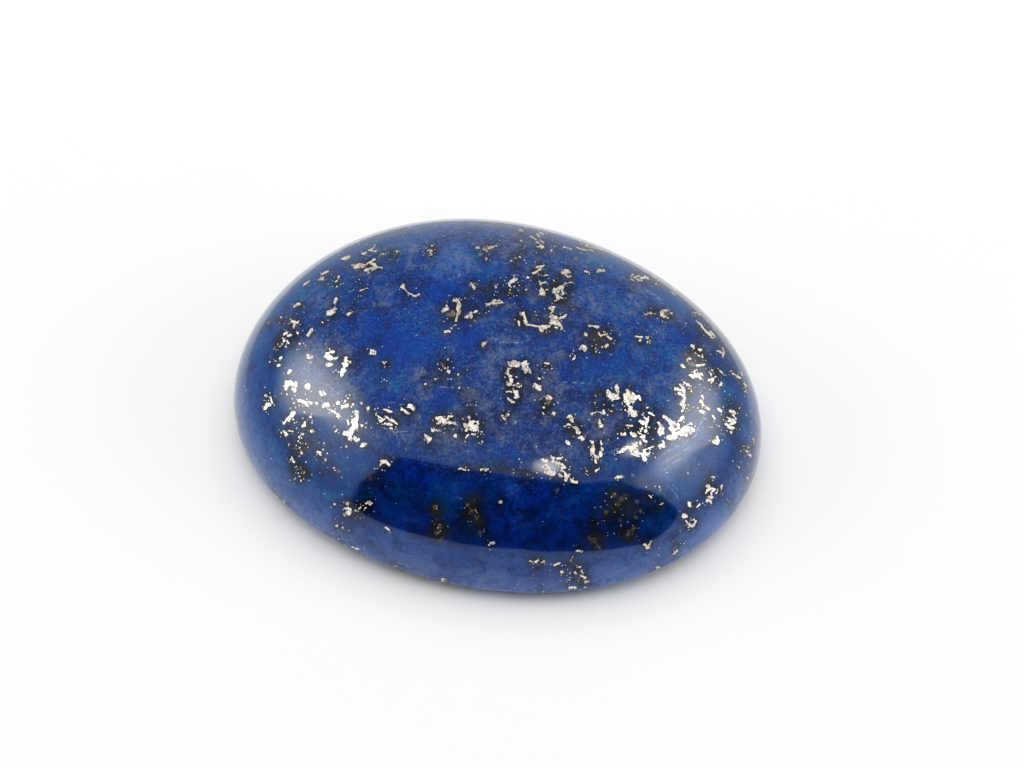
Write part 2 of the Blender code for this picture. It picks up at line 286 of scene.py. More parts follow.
LEFT_FLECKS = [
    (1.6, 270.5, 397.5, 272, 402), (1.5, 269, 403, 270.5, 405.5), (1.4, 264.5, 409, 267, 403.5),
    (1.5, 266.3, 395.5), (1, 274, 403), (0.8, 275, 396), (2.1, 287, 420, 293, 412.5),
    (1, 283.5, 424, 285.5, 421.5), (1, 293, 419.5), (1.8, 284, 432, 287.5, 435),
    (1.2, 288.5, 430.5, 291.5, 431.5), (1, 281.5, 433), (2.2, 309.7, 417),
    (1.3, 302, 426.5, 305, 425), (1.1, 304.5, 422.5), (2.2, 311.9, 430.8), (1.3, 302.7, 434.4),
    (0.7, 296.3, 422.5), (0.9, 299, 437), (1, 298, 441), (1, 300.5, 443), (0.9, 296, 445.5),
    (1.2, 299.5, 447.5), (0.8, 302, 445), (0.8, 297.5, 448.5), (0.7, 294.5, 448), (1.7, 301, 452.9),
    (2.3, 291, 459.5), (1.3, 294, 462), (0.9, 299.3, 456.3), (1, 296.3, 466.5), (1.5, 300.5, 469.5),
    (0.8, 298, 473), (0.9, 301.4, 473), (1.1, 295.3, 478), (1.2, 301, 480.8), (0.8, 303.7, 475.5),
    (0.7, 304.6, 472.3), (0.7, 299.5, 476), (0.7, 297, 469.7), (1.5, 318, 452.3, 321, 453),
    (1.2, 323, 449.5), (1.2, 320.5, 454.5, 321, 455.5), (1.2, 325.4, 459.5), (1.1, 334, 468.2),
    (0.6, 319.9, 472.7), (1.3, 346.3, 446.5), (0.9, 293.8, 403.4), (0.8, 299.5, 405.3),
    (2, 300, 400.5, 303.5, 401.5, 308, 404.5), (1.5, 309, 403, 312, 404), (1.2, 317, 403.4),
    (3.2, 325.7, 405.3), (1.2, 320.5, 392, 322, 395), (1.3, 323.5, 391.5, 325, 394),
    (1.6, 337.8, 402.8), (1.9, 342.5, 406.5, 347, 405.5), (1.2, 345, 401.5), (1.4, 353, 404.3),
    (1.4, 361.4, 403.4), (1.4, 368, 408.5), (0.9, 349.5, 395), (0.9, 356.5, 394.7),
    (0.8, 365.8, 423.4), (2, 329, 409, 335, 412.5, 339.5, 416), (1.8, 337.8, 416),
    (2.2, 356, 412.5, 356.5, 418), (4.2, 354, 421, 354.5, 427), (4.4, 353.5, 428, 351, 433),
    (3, 350, 437, 349, 439), (2.8, 354.5, 437, 356.5, 439.5), (1.5, 347.5, 420, 348.5, 424),
    (1.6, 361, 425, 362, 427), (1.5, 345, 432, 346.5, 435), (2.3, 361.5, 445.8, 365, 444.2),
    (1.4, 362.7, 425.5), (1.3, 335, 432, 337.5, 429.5), (1, 384, 409.5, 391, 411.5),
    (1.1, 378, 416, 381, 418.5), (1.6, 380, 421, 385, 419), (1.8, 386, 416.5, 392, 421.5),
    (1.5, 386, 423.5, 392, 425), (1.3, 393, 421, 397.5, 424.5), (1.1, 390, 428, 392, 428.5),
    (0.9, 376, 413.5), (1.2, 402, 408.5, 406, 412), (1, 406, 412.5, 409, 413.5),
    (2, 409.5, 406, 412.5, 408.5), (2, 380.5, 465, 382, 462, 386, 461.5, 389, 464.5),
    (1.2, 382.5, 470.5), (0.9, 393.5, 457.2), (1.1, 334.6, 504.2), (1.7, 347, 503.5),
    (2.4, 346, 513.5, 350, 512.5), (1.2, 345, 508.5, 348, 508), (1.2, 350.5, 509),
    (1.5, 355.6, 510.5), (1.6, 359, 509, 363, 505.5), (1.3, 364, 509, 367, 507),
    (1.3, 366, 503.5, 369.5, 501.5), (1.1, 369, 505, 372, 503), (1, 360.5, 504),
    (0.8, 357.5, 516.3), (1.4, 336.5, 525.2), (0.8, 342.5, 527.5), (1.3, 349, 530.3),
    (0.9, 338.4, 539.2), (1, 352.5, 547, 358, 549.2), (1.2, 385.5, 527, 388.5, 530),
]

NEAR_FLECKS = [
    (1.1, 466.3, 505.9), (1.2, 466.5, 512), (1.2, 475.5, 510, 477, 512.5), (2, 500.8, 501.4),
    (0.8, 438, 508.5), (1, 438, 527.5), (0.9, 440.5, 531), (1.6, 490.5, 542, 494, 543),
    (1.4, 489, 545), (1.6, 616, 477.5, 622.5, 477), (1.2, 649, 495.5, 651.5, 497),
    (0.8, 659.3, 486.7), (0.9, 660, 505, 663.5, 502.5), (1.4, 577.5, 550.5, 582, 552),
    (1.3, 580.5, 548.5), (1.3, 643, 543.5, 645, 545), (1.4, 646, 547.5, 649.5, 544),
    (1, 651, 541.5), (1.4, 673, 541.2), (1.4, 674, 553.5, 677.5, 550.5), (0.6, 546, 529.5),
    (1.2, 658.5, 569.4, 661.5, 569.4), (0.6, 680.3, 543.5), (1.2, 530, 560.5, 533, 562.5),
    (1.2, 535, 563, 538, 560.5), (1.5, 541.5, 562.5, 545, 561), (1, 536.5, 567.5),
    (1, 538.5, 558.5), (1.4, 555.5, 565, 559.5, 563.5), (2, 562.2, 572.2), (0.9, 619, 534),
    (1.2, 570.5, 561, 572.5, 557.5), (0.7, 565.2, 566.5), (1.1, 577, 567.5, 580, 567),
    (1.2, 580, 575, 584, 577), (1.1, 575, 572, 577, 574.5), (1.2, 581, 571, 583, 573),
    (1.1, 583, 580, 586, 577), (0.9, 579, 579), (2.4, 586.6, 582.4), (1.2, 569.6, 579.8),
    (1.2, 570, 588, 576, 587.7), (0.9, 584.5, 587.5, 588, 587.5), (0.5, 593.6, 520.5),
]

SEEN_FLECKS = (
    UPPER_LEFT_FLECKS + TOP_FLECKS + CENTRE_FLECKS + RIGHT_FLECKS + LEFT_FLECKS + NEAR_FLECKS
)

# Flecks that look dull in the photograph, most of them in the dark band on the near flank. There
# the dullness is painted shade, the dark that their metal mirrors; the others are dull of their
# own.
DULL_AND_SHADED_FLECKS = [
    (1.2, 268.3, 322.9), (1.9, 480.7, 253.8), (1.3, 576, 258.5), (0.9, 448, 314, 454, 313.5),
    (1, 443, 364.3), (2, 549, 401.5), (1.5, 667, 313.5), (1, 689.5, 363, 692, 365),
    (1.4, 370.3, 478), (1.2, 338.4, 471.6), (2, 437, 533), (2.2, 440, 527), (2.4, 435, 508),
    (1.6, 441, 539), (1.8, 436, 520), (2, 472, 511), (1.8, 477, 517), (1.6, 468, 505),
    (1.6, 480.4, 532.7), (1.6, 557, 490), (1, 633, 475.3), (1.2, 640, 511), (1.4, 619.7, 519.3),
    (2.4, 630, 532), (1.8, 626, 536), (2, 614, 495), (2.2, 621, 499), (1.8, 627, 496),
    (1.8, 617, 504), (1.5, 637, 502), (1.4, 635.7, 517.3), (2.4, 594, 541), (1.8, 598, 546),
    (1.6, 590, 538), (1.4, 606, 512), (1.6, 634, 528),
]

# Where the blue shows through a fleck
FLECK_HOLES = [
    (1.6, 366.2, 266.2, 369.5, 265.4), (0.9, 373.3, 352.4), (0.9, 620.5, 391, 622, 400),
    (1.1, 667, 429), (1.1, 679, 430),
]

# Fine pale lines, like marks of the polishing. Those in the two side highlights are painted
# highlight streaks.
HAIRLINES_AND_HIGHLIGHT_STREAKS = [
    (0.6, 413.5, 338, 418.5, 334), (0.55, 494, 338.5, 500, 341.5), (0.6, 500, 342, 522, 342.5),
    (0.6, 439.5, 386.7, 457, 388), (0.6, 558, 381.6, 584, 383),
    (0.6, 646.5, 290, 653.5, 294.5, 660.5, 299.5), (0.5, 284, 296, 292, 286, 300, 279),
    (0.5, 392, 430, 397, 436, 399, 444, 398, 450), (0.5, 396, 428, 403, 435, 406, 443, 406, 450),
    (0.9, 659, 459, 666, 452, 679, 445), (0.5, 661, 464, 677, 455, 690, 447),
    (0.8, 684, 443, 694, 437, 703, 427), (0.5, 671, 444, 683, 437),
    (1, 697, 430, 703, 420, 706, 412),
    (0.7, 664, 470, 676, 461, 681, 459), (0.5, 668, 486, 675, 492, 679, 500),
    (0.4, 673, 485, 681, 493), (0.5, 318, 398, 331, 409, 344, 419), (0.4, 327, 384, 338, 393),
    (0.6, 604, 454, 618, 449, 632, 444), (0.5, 380, 404, 392, 402, 404, 405),
    (0.5, 381, 427, 393, 432, 408, 431),
]

# Dark matrix round the flecks: (x, y, radius, strength)
DARK_MATRIX = [
    (472, 514, 10, 0.9), (304, 308, 7, 0.7), (598, 340, 13, 0.7), (729, 420, 11, 0.8),
    (645, 429, 11, 0.8), (475, 498, 7, 0.5), (436, 507, 7, 0.5), (437, 530, 8, 0.5),
    (617, 499, 12, 0.5), (661, 506, 6, 0.6), (650, 496, 7, 0.6), (595, 534, 6, 0.7),
    (628, 537, 7, 0.6), (451, 314, 7, 0.7), (549, 401, 6, 0.6), (443, 364, 5, 0.6),
    (286, 340, 10, 0.7), (560, 285, 13, 0.6), (540, 275, 9, 0.5), (516, 380, 9, 0.5),
    (472, 425, 12, 0.5), (442, 421, 10, 0.5), (300, 445, 9, 0.5), (387, 422, 9, 0.5),
    (700, 358, 11, 0.5), (650, 415, 10, 0.6), (596, 452, 8, 0.5), (710, 488, 8, 0.5),
    (633, 400, 11, 0.4), (575, 425, 10, 0.4), (457, 305, 8, 0.4), (612, 402, 12, 0.3),
    (470, 520, 14, 0.5), (612, 515, 20, 0.5), (372, 480, 9, 0.6), (650, 508, 10, 0.4),
]

# Brown to olive matrix: (x, y, radius, strength)
OLIVE_MATRIX = [
    (397, 229, 9, 0.7), (495, 223, 10, 0.6), (602, 249, 13, 0.6), (662, 283, 9, 0.6),
    (696, 358, 13, 0.6), (690, 470, 7, 0.8), (667, 313, 6, 0.8), (640, 480, 7, 0.6),
    (596, 541, 9, 1.0), (661, 506, 4, 0.6), (551, 321, 9, 0.5), (541, 293, 9, 0.5),
    (437, 511, 8, 0.8), (440, 532, 9, 1.0), (472, 499, 8, 0.8), (477, 521, 8, 0.6),
    (617, 498, 11, 1.0), (630, 511, 8, 0.7), (628, 538, 8, 0.9), (646, 500, 7, 0.6),
    (604, 512, 7, 0.5), (448, 311, 7, 0.6), (600, 336, 9, 0.6), (355, 262, 9, 0.5),
    (440, 421, 9, 0.6), (304, 402, 8, 0.4), (736, 414, 9, 0.4), (690, 406, 8, 0.5),
]

# Strong ultramarine: (x, y, radius, strength)
ULTRAMARINE = [
    (398, 345, 20, 1.0), (417, 346, 14, 0.8), (468, 338, 13, 0.9), (575, 366, 16, 0.6),
    (605, 369, 19, 0.5), (634, 363, 13, 0.4), (440, 287, 15, 0.8), (388, 400, 12, 0.7),
    (441, 402, 10, 0.7), (368, 328, 17, 0.5), (500, 456, 15, 0.5), (682, 337, 12, 0.6),
    (418, 478, 13, 0.7), (405, 512, 11, 0.5), (505, 527, 15, 0.6), (541, 498, 14, 0.6),
    (536, 541, 9, 0.5), (575, 530, 12, 0.3),
]

# Sky blue, and painted light: the patches at the left rim, at the low right rim and in the right
# highlight paint light there. (x, y, radius, strength)
SKY_BLUE_AND_PAINTED_LIGHT = [
    (455, 257, 14, 1.0), (437, 272, 10, 0.6), (513, 490, 7, 0.5), (562, 515, 6, 0.5),
    (518, 524, 6, 0.5), (455, 495, 7, 0.5), (410, 520, 7, 0.4), (640, 352, 9, 0.4),
    (240, 400, 14, 0.25), (250, 440, 15, 0.25), (270, 472, 14, 0.2), (702, 536, 15, 0.5),
    (715, 522, 10, 0.4), (736, 480, 12, 0.3), (744, 430, 12, 0.2), (684, 447, 14, 0.4),
    (662, 312, 16, 0.5), (664, 462, 13, 0.4), (700, 425, 11, 0.4),
]

# Teal: (x, y, radius, strength)
TEAL_PATCHES = [
    (364, 496, 10, 0.7), (446, 495, 15, 0.7), (489, 491, 9, 0.6), (470, 524, 14, 0.5),
    (622, 486, 14, 0.6), (660, 500, 11, 0.8), (662, 524, 8, 0.6), (577, 500, 13, 0.5),
    (520, 520, 10, 0.5), (402, 495, 13, 0.8), (653, 516, 13, 0.8), (585, 375, 15, 0.5),
    (620, 372, 13, 0.5), (640, 356, 12, 0.4), (395, 515, 9, 0.4),
]

# Dark navy: (x, y, radius, strength)
NAVY_PATCHES = [
    (500, 300, 20, 0.6), (540, 312, 18, 0.5), (450, 302, 13, 0.6), (522, 385, 17, 0.6),
    (592, 338, 12, 0.5), (622, 402, 18, 0.3), (290, 335, 11, 0.3), (302, 447, 13, 0.3),
    (460, 425, 10, 0.5), (470, 366, 11, 0.4), (370, 256, 12, 0.4), (365, 505, 12, 0.4),
    (480, 512, 17, 0.6), (545, 510, 30, 0.4), (618, 516, 24, 0.7), (382, 487, 13, 0.5),
]

# Grey-blue calcite veils, and painted highlight haze: the patches round (325, 352) and (306, 347),
# beside the left highlight, paint its glow. (x, y, radius, strength)
GREY_VEILS_AND_GLOW_HAZE = [
    (325, 352, 19, 0.8), (345, 395, 17, 0.6), (470, 400, 17, 0.8), (490, 357, 10, 0.5),
    (600, 346, 12, 0.6), (450, 437, 15, 0.7), (400, 421, 17, 0.6), (600, 431, 15, 0.7),
    (518, 264, 17, 0.5), (430, 238, 17, 0.4), (510, 249, 11, 0.6), (565, 301, 13, 0.4),
    (640, 301, 17, 0.4), (712, 391, 12, 0.7), (696, 371, 13, 0.7), (545, 388, 14, 0.5),
    (315, 300, 12, 0.5), (335, 478, 16, 0.3), (505, 430, 14, 0.5), (560, 450, 13, 0.4),
    (420, 375, 13, 0.3), (652, 385, 12, 0.4), (520, 330, 60, 0.10), (520, 420, 60, 0.13),
    (422, 438, 10, 0.6), (396, 428, 9, 0.5), (285, 322, 13, 0.7), (706, 345, 10, 0.6),
    (714, 380, 12, 0.5), (588, 407, 11, 0.4), (620, 421, 9, 0.4), (580, 312, 14, 0.5),
    (270, 345, 10, 0.4), (680, 315, 12, 0.4), (318, 450, 13, 0.3), (306, 347, 13, 0.4),
]

# How the painted values are made. Margins, reaches and radii are in pixels or times a radius, and
# normals whose dot product is below SAME_SIDE belong to different sides of the stone.
PIXEL_AT_STONE = CAMERA_DISTANCE * CAMERA_SENSOR / (CAMERA_LENS * PHOTO_WIDTH)
STEEPEST_STRETCH = 2.2
SAME_SIDE = 0.3
STROKE_MARGIN = 6.0
OUTSIDE = -8.0
CRYSTAL_SEED = 7
CRYSTAL_SIDES = (4, 6)
CRYSTAL_SIZE = (0.62, 1.00)
CRYSTAL_TWIST = 0.2
PATCH_REACH = 2.6
HALO_RADIUS = 7.0
HALO_STRENGTH = 0.34
PULL_IN = 0.01
STONE_MIDDLE_PIXEL = (499.0, 404.0)


def camera_axes():
    """The camera's right, up and back directions."""
    flat = math.cos(CAMERA_ELEVATION)
    back = Vector((
        math.sin(CAMERA_AZIMUTH) * flat,
        -math.cos(CAMERA_AZIMUTH) * flat,
        math.sin(CAMERA_ELEVATION),
    ))
    right = (-back).cross(Vector((0.0, 0.0, 1.0))).normalized()
    return right, right.cross(-back), back


RIGHT, UP, BACK = camera_axes()
CAMERA_AIM = Vector((0.0, 0.0, HEIGHT / 2)) + RIGHT * AIM_RIGHT + UP * AIM_UP
CAMERA_PLACE = CAMERA_AIM + BACK * CAMERA_DISTANCE
FOCAL_PIXELS = CAMERA_LENS / CAMERA_SENSOR * PHOTO_WIDTH


def make_camera():
    data = bpy.data.cameras.new("camera")
    data.lens = CAMERA_LENS
    data.sensor_width = CAMERA_SENSOR
    data.clip_start = 0.01
    data.clip_end = 10.0
    camera = bpy.data.objects.new("camera", data)
    camera.location = CAMERA_PLACE
    camera.rotation_mode = "QUATERNION"
    camera.rotation_quaternion = BACK.to_track_quat("Z", "Y")
    bpy.context.scene.collection.objects.link(camera)
    bpy.context.scene.camera = camera


def onto_stone(directions):
    """Where points of the unit sphere lie on the stone."""
    polar = np.arccos(np.clip(directions[:, 2], -1.0, 1.0))
    turn = np.arctan2(directions[:, 1], directions[:, 0])
    fall = 0.5 * math.pi * np.minimum(polar / DOME_END, 1.0)
    tuck = 0.5 * math.pi * np.clip((polar - DOME_END) / (EDGE_END - DOME_END), 0.0, 1.0)
    inward = np.clip((math.pi - polar) / (math.pi - EDGE_END), 0.0, 1.0)
    edge_share = BASE_SHARE + (1.0 - BASE_SHARE) * np.cos(tuck)
    share = np.where(polar <= DOME_END, np.sin(fall), edge_share)
    share = np.where(polar > EDGE_END, BASE_SHARE * inward, share)
    rise = np.cos(fall) * (1.0 - DOME_LEAN * np.sin(fall) ** 2)
    level = np.where(
        polar <= DOME_END,
        GIRDLE_HEIGHT + (HEIGHT - GIRDLE_HEIGHT) * rise,
        GIRDLE_HEIGHT * (1.0 - np.sin(tuck)),
    )
    uneven = (
        1.0
        + THREE_SIDED * np.cos(3.0 * turn - THREE_SIDED_TURN)
        + FOUR_SIDED * np.cos(4.0 * turn - FOUR_SIDED_TURN)
    )
    along = fitted(share * np.cos(turn) * uneven, LENGTH)
    across = fitted(share * np.sin(turn) * uneven, WIDTH)
    return np.column_stack((along, across, level))


def fitted(values, size):
    """Coordinates moved and stretched so that they are centred and exactly this long."""
    low = values.min()
    high = values.max()
    return (values - 0.5 * (low + high)) * size / (high - low)


class Spot:
    """A place on the stone with a small flat map of its own, measured in pixels."""

    def __init__(self, point, normal, across, down):
        self.point = np.array(point)
        self.normal = np.array(normal)
        across = np.array(across)
        down = np.array(down)
        gram = np.array(((across @ across, across @ down), (across @ down, down @ down)))
        self.to_map = np.linalg.inv(gram) @ np.array((across, down))

    def on_map(self, points):
        return (points - self.point) @ self.to_map.T


def seen_spot(surface, x, y):
    """The spot that the camera sees at a pixel. Pixels just off the stone are pulled onto it."""
    middle_x, middle_y = STONE_MIDDLE_PIXEL
    pull = 0.0
    while True:
        at_x = x + (middle_x - x) * pull
        at_y = y + (middle_y - y) * pull
        ray = RIGHT * (at_x - PHOTO_WIDTH / 2) + UP * (PHOTO_HEIGHT / 2 - at_y)
        ray = (ray / FOCAL_PIXELS - BACK).normalized()
        point, normal, _, distance = surface.ray_cast(CAMERA_PLACE, ray)
        if point is not None:
            break
        pull += PULL_IN
    steepness = max(-ray.dot(normal), 1.0 / STEEPEST_STRETCH)
    pixel = PIXEL_AT_STONE * distance / CAMERA_DISTANCE
    across = (RIGHT + ray * (RIGHT.dot(normal) / steepness)) * pixel
    down = (-UP - ray * (UP.dot(normal) / steepness)) * pixel
    across -= normal * across.dot(normal)
    down -= normal * down.dot(normal)
    return Spot(point, normal, across, down)


def runs_of(surface, strokes):
    """Each stroke as straight runs: a spot, the run's ends on the spot's map, its half width."""
    runs = []
    for half_width, *line in strokes:
        points = list(zip(line[0::2], line[1::2]))
        for start, end in zip(points, points[1:] or points):
            middle = ((start[0] + end[0]) / 2, (start[1] + end[1]) / 2)
            spot = seen_spot(surface, *middle)
            ends = np.array((start, end)) - middle
            runs.append((spot, ends, half_width))
    return runs


def near(tree, points, normals, spot, reach):
    """The points round a spot on the same side of the stone, and where they lie on its map."""
    size = reach * PIXEL_AT_STONE * STEEPEST_STRETCH
    found = np.array([index for _, index, _ in tree.find_range(spot.point, size)], int)
    if len(found):
        found = found[normals[found] @ spot.normal > SAME_SIDE]
    return found, spot.on_map(points[found])


def crystal_sides(draw):
    """The sides of an uneven four- to six-sided crystal of unit size, as columns."""
    count = draw.randint(*CRYSTAL_SIDES)
    first = draw.uniform(0.0, 2.0 * math.pi)
    steps = [side + draw.uniform(-CRYSTAL_TWIST, CRYSTAL_TWIST) for side in range(count)]
    turns = [first + 2.0 * math.pi * step / count for step in steps]
    sizes = [draw.uniform(*CRYSTAL_SIZE) for _ in turns]
    sides = [(math.cos(turn) / size, math.sin(turn) / size) for turn, size in zip(turns, sizes)]
    return np.array(sides).T


def painted_strokes(tree, points, normals, runs):
    """How far inside the strokes each point lies and how wide they are, in pixels.

    The first number is below zero outside the strokes.
    """
    draw = random.Random(CRYSTAL_SEED)
    inside = np.full(len(points), OUTSIDE)
    widths = np.zeros(len(points))
    for spot, (start, end), half_width in runs:
        sides = crystal_sides(draw)
        run = end - start
        reach = 0.5 * math.hypot(*run) + half_width + STROKE_MARGIN
        found, places = near(tree, points, normals, spot, reach)
        share = np.clip((places - start) @ run / max(run @ run, 1e-9), 0.0, 1.0)
        offset = places - start - share[:, None] * run
        depth = half_width - (offset @ sides).max(axis=1)
        deeper = depth > inside[found]
        inside[found[deeper]] = depth[deeper]
        widths[found[deeper]] = half_width
    return inside, widths


def painted_patches(tree, points, normals, patches):
    """The sum of soft round patches, each (spot, radius, strength), from 0 to 1."""
    amount = np.zeros(len(points))
    for spot, radius, strength in patches:
        found, places = near(tree, points, normals, spot, PATCH_REACH * radius)
        squared = (places**2).sum(axis=1) / radius**2
        amount[found] += strength * np.exp(-squared)
    return 1.0 - np.exp(-amount)


def patches_of(surface, patches):
    return [(seen_spot(surface, x, y), radius, strength) for x, y, radius, strength in patches]


# Flecks where the photograph doesn't look: seeded clusters of the same kind, each in a patch of
# dark matrix
HIDDEN_SEED = 11
HIDDEN_CLUSTERS = 110
HIDDEN_FLECKS = (3, 11)
HIDDEN_SPREAD = 11.0
HIDDEN_HALF_WIDTH = (0.8, 2.6)
HIDDEN_THINNING = (0.5, 1.0)
HIDDEN_LENGTH = (0.0, 6.0)
HIDDEN_BEYOND = 0.22
HIDDEN_HALO_RADIUS = 2.0 * HIDDEN_SPREAD
HIDDEN_HALO_STRENGTH = 0.5


def hidden_runs(points, normals):
    """Clusters of short strokes where the camera sees the stone edge-on or not at all."""
    draw = random.Random(HIDDEN_SEED)
    facing = normals @ np.array(BACK)
    hidden = np.flatnonzero(facing < HIDDEN_BEYOND)
    runs = []
    middles = []
    for _ in range(HIDDEN_CLUSTERS):
        index = hidden[draw.randrange(len(hidden))]
        normal = Vector(normals[index])
        across = normal.orthogonal().normalized()
        down = normal.cross(across)
        middle = Vector(points[index])
        middles.append(Spot(middle, normal, across * PIXEL_AT_STONE, down * PIXEL_AT_STONE))
        for _ in range(draw.randint(*HIDDEN_FLECKS)):
            shift_x = draw.gauss(0.0, HIDDEN_SPREAD)
            shift_y = draw.gauss(0.0, HIDDEN_SPREAD)
            half_width = draw.uniform(*HIDDEN_HALF_WIDTH) * draw.uniform(*HIDDEN_THINNING)
            length = draw.uniform(*HIDDEN_LENGTH)
            turn = draw.uniform(0.0, math.pi)
            half = np.array((math.cos(turn), math.sin(turn))) * length / 2
            shift = np.array((shift_x, shift_y))
            runs.append((middles[-1], (shift - half, shift + half), half_width))
    return runs, middles


def sphere_mesh():
    sphere = bmesh.new()
    bmesh.ops.create_icosphere(sphere, subdivisions=SPHERE_DETAIL, radius=1.0)
    return sphere


def shaped(sphere):
    """The sphere's points on the stone, and the normals there."""
    directions = np.array([vert.co for vert in sphere.verts])
    points = onto_stone(directions)
    mesh = bpy.data.meshes.new("measured")
    sphere.to_mesh(mesh)
    mesh.vertices.foreach_set("co", points.ravel())
    mesh.update()
    normals = np.empty(len(points) * 3)
    mesh.vertices.foreach_get("normal", normals)
    bpy.data.meshes.remove(mesh)
    return points, normals.reshape(-1, 3)


def lookup(points):
    tree = KDTree(len(points))
    for index, point in enumerate(points):
        tree.insert(point, index)
    tree.balance()
    return tree


# Where the mesh is made finer, step by step: within so many pixels of the strokes' outlines, and
# at most so many triangles. Those that the camera doesn't see count for less.
FINER_STEPS = ((5.0, 9500), (2.4, 18500), (1.3, 22000))
SEEN_BEYOND = 0.15
HIDDEN_SHARE = 0.35


def refine(sphere, inside, normals, within, most):
    """Splits the triangles near the strokes' outlines, where these bend most."""
    ends = np.array([[vert.index for vert in edge.verts] for edge in sphere.edges])
    around = np.zeros(len(inside))
    count = np.zeros(len(inside))
    for this, other in ((0, 1), (1, 0)):
        np.add.at(around, ends[:, this], inside[ends[:, other]])
        np.add.at(count, ends[:, this], 1)
    worth = np.abs(around / count - inside) * np.maximum(0.0, 1.0 - np.abs(inside) / within)
    worth[normals @ np.array(BACK) < SEEN_BEYOND] *= HIDDEN_SHARE
    corners = np.array([[vert.index for vert in face.verts] for face in sphere.faces])
    face_worth = worth[corners].max(axis=1)
    best = np.argsort(-face_worth, kind="stable")[:most]
    sphere.faces.ensure_lookup_table()
    edges = set()
    for index in best[face_worth[best] > 0.0]:
        edges.update(sphere.faces[index].edges)
    bmesh.ops.subdivide_edges(sphere, edges=list(edges), cuts=1)
    bmesh.ops.triangulate(sphere, faces=[face for face in sphere.faces if len(face.verts) > 3])
    for vert in sphere.verts:
        vert.co.normalize()
    sphere.verts.index_update()


def surface_of(sphere, points):
    triangles = [[vert.index for vert in face.verts] for face in sphere.faces]
    return BVHTree.FromPolygons([tuple(p) for p in points], triangles)


def make_stone():
    sphere = sphere_mesh()
    points, normals = shaped(sphere)
    surface = surface_of(sphere, points)
    seen = runs_of(surface, SEEN_FLECKS)
    dull_and_shaded = runs_of(surface, DULL_AND_SHADED_FLECKS)
    holes = runs_of(surface, FLECK_HOLES)
    hairlines_and_streaks = runs_of(surface, HAIRLINES_AND_HIGHLIGHT_STREAKS)
    hidden, hidden_middles = hidden_runs(points, normals)
    flecks = seen + hidden
    for within, most in FINER_STEPS:
        inside, _ = painted_strokes(lookup(points), points, normals, flecks + dull_and_shaded + hairlines_and_streaks)
        refine(sphere, inside, normals, within, most)
        points, normals = shaped(sphere)
    tree = lookup(points)
    values = {}
    values["pyrite"], values["pyrite_width"] = painted_strokes(tree, points, normals, flecks)
    values["dull_and_shaded_pyrite"], _ = painted_strokes(tree, points, normals, dull_and_shaded)
    values["hairline_and_streak"], _ = painted_strokes(tree, points, normals, hairlines_and_streaks)
    hole, _ = painted_strokes(tree, points, normals, holes)
    values["pyrite"] = np.minimum(values["pyrite"], -hole)
    halos = [(run[0], HALO_RADIUS, HALO_STRENGTH) for run in seen + dull_and_shaded]
    for middle in hidden_middles:
        halos.append((middle, HIDDEN_HALO_RADIUS, HIDDEN_HALO_STRENGTH))
    halos += patches_of(surface, DARK_MATRIX)
    values["matrix"] = painted_patches(tree, points, normals, halos)
    for name, patches in (
        ("olive", OLIVE_MATRIX),
        ("ultramarine", ULTRAMARINE),
        ("sky_and_painted_light", SKY_BLUE_AND_PAINTED_LIGHT),
        ("teal", TEAL_PATCHES),
        ("navy", NAVY_PATCHES),
        ("grey", GREY_VEILS_AND_GLOW_HAZE),
    ):
        found = patches_of(surface, patches)
        values[name] = painted_patches(tree, points, normals, found)
    mesh = bpy.data.meshes.new("lapis_stone")
    sphere.to_mesh(mesh)
    sphere.free()
    mesh.vertices.foreach_set("co", points.ravel())
    for name, value in values.items():
        mesh.attributes.new(name, "FLOAT", "POINT").data.foreach_set("value", value)
    mesh.shade_smooth()
    mesh.update()
    mesh.materials.append(stone_material())
    stone = bpy.data.objects.new("lapis_stone", mesh)
    bpy.context.scene.collection.objects.link(stone)
    return stone


def add(tree, kind, inputs=None, **settings):
    """Adds a node, sets it, and sets or joins its inputs."""
    node = tree.nodes.new("ShaderNode" + kind)
    for name, value in settings.items():
        setattr(node, name, value)
    for socket, value in (inputs or {}).items():
        if isinstance(value, bpy.types.NodeSocket):
            tree.links.new(value, node.inputs[socket])
        else:
            node.inputs[socket].default_value = value
    return node


def noise(tree, place, scale, detail=2.0, roughness=0.5, distortion=0.0):
    node = add(tree, "TexNoise", {
        "Vector": place, "Scale": scale, "Detail": detail,
        "Roughness": roughness, "Distortion": distortion,
    })
    return node.outputs[0]


def calc(tree, operation, first, second=0.0):
    node = add(tree, "Math", {0: first, 1: second}, operation=operation)
    return node.outputs[0]


def plus(tree, first, second):
    return calc(tree, "ADD", first, second)


def times(tree, first, second):
    return calc(tree, "MULTIPLY", first, second)


def ramp(tree, value, low, high, to_low=0.0, to_high=1.0):
    node = add(tree, "MapRange", {
        "Value": value, "From Min": low, "From Max": high, "To Min": to_low, "To Max": to_high,
    }, interpolation_type="SMOOTHSTEP")
    return node.outputs[0]


def blend(tree, amount, first, second, kind="MIX"):
    node = add(tree, "Mix", {0: amount, 6: first, 7: second}, data_type="RGBA", blend_type=kind)
    return node.outputs[2]


def painted(tree, name):
    return add(tree, "Attribute", attribute_name=name).outputs["Fac"]


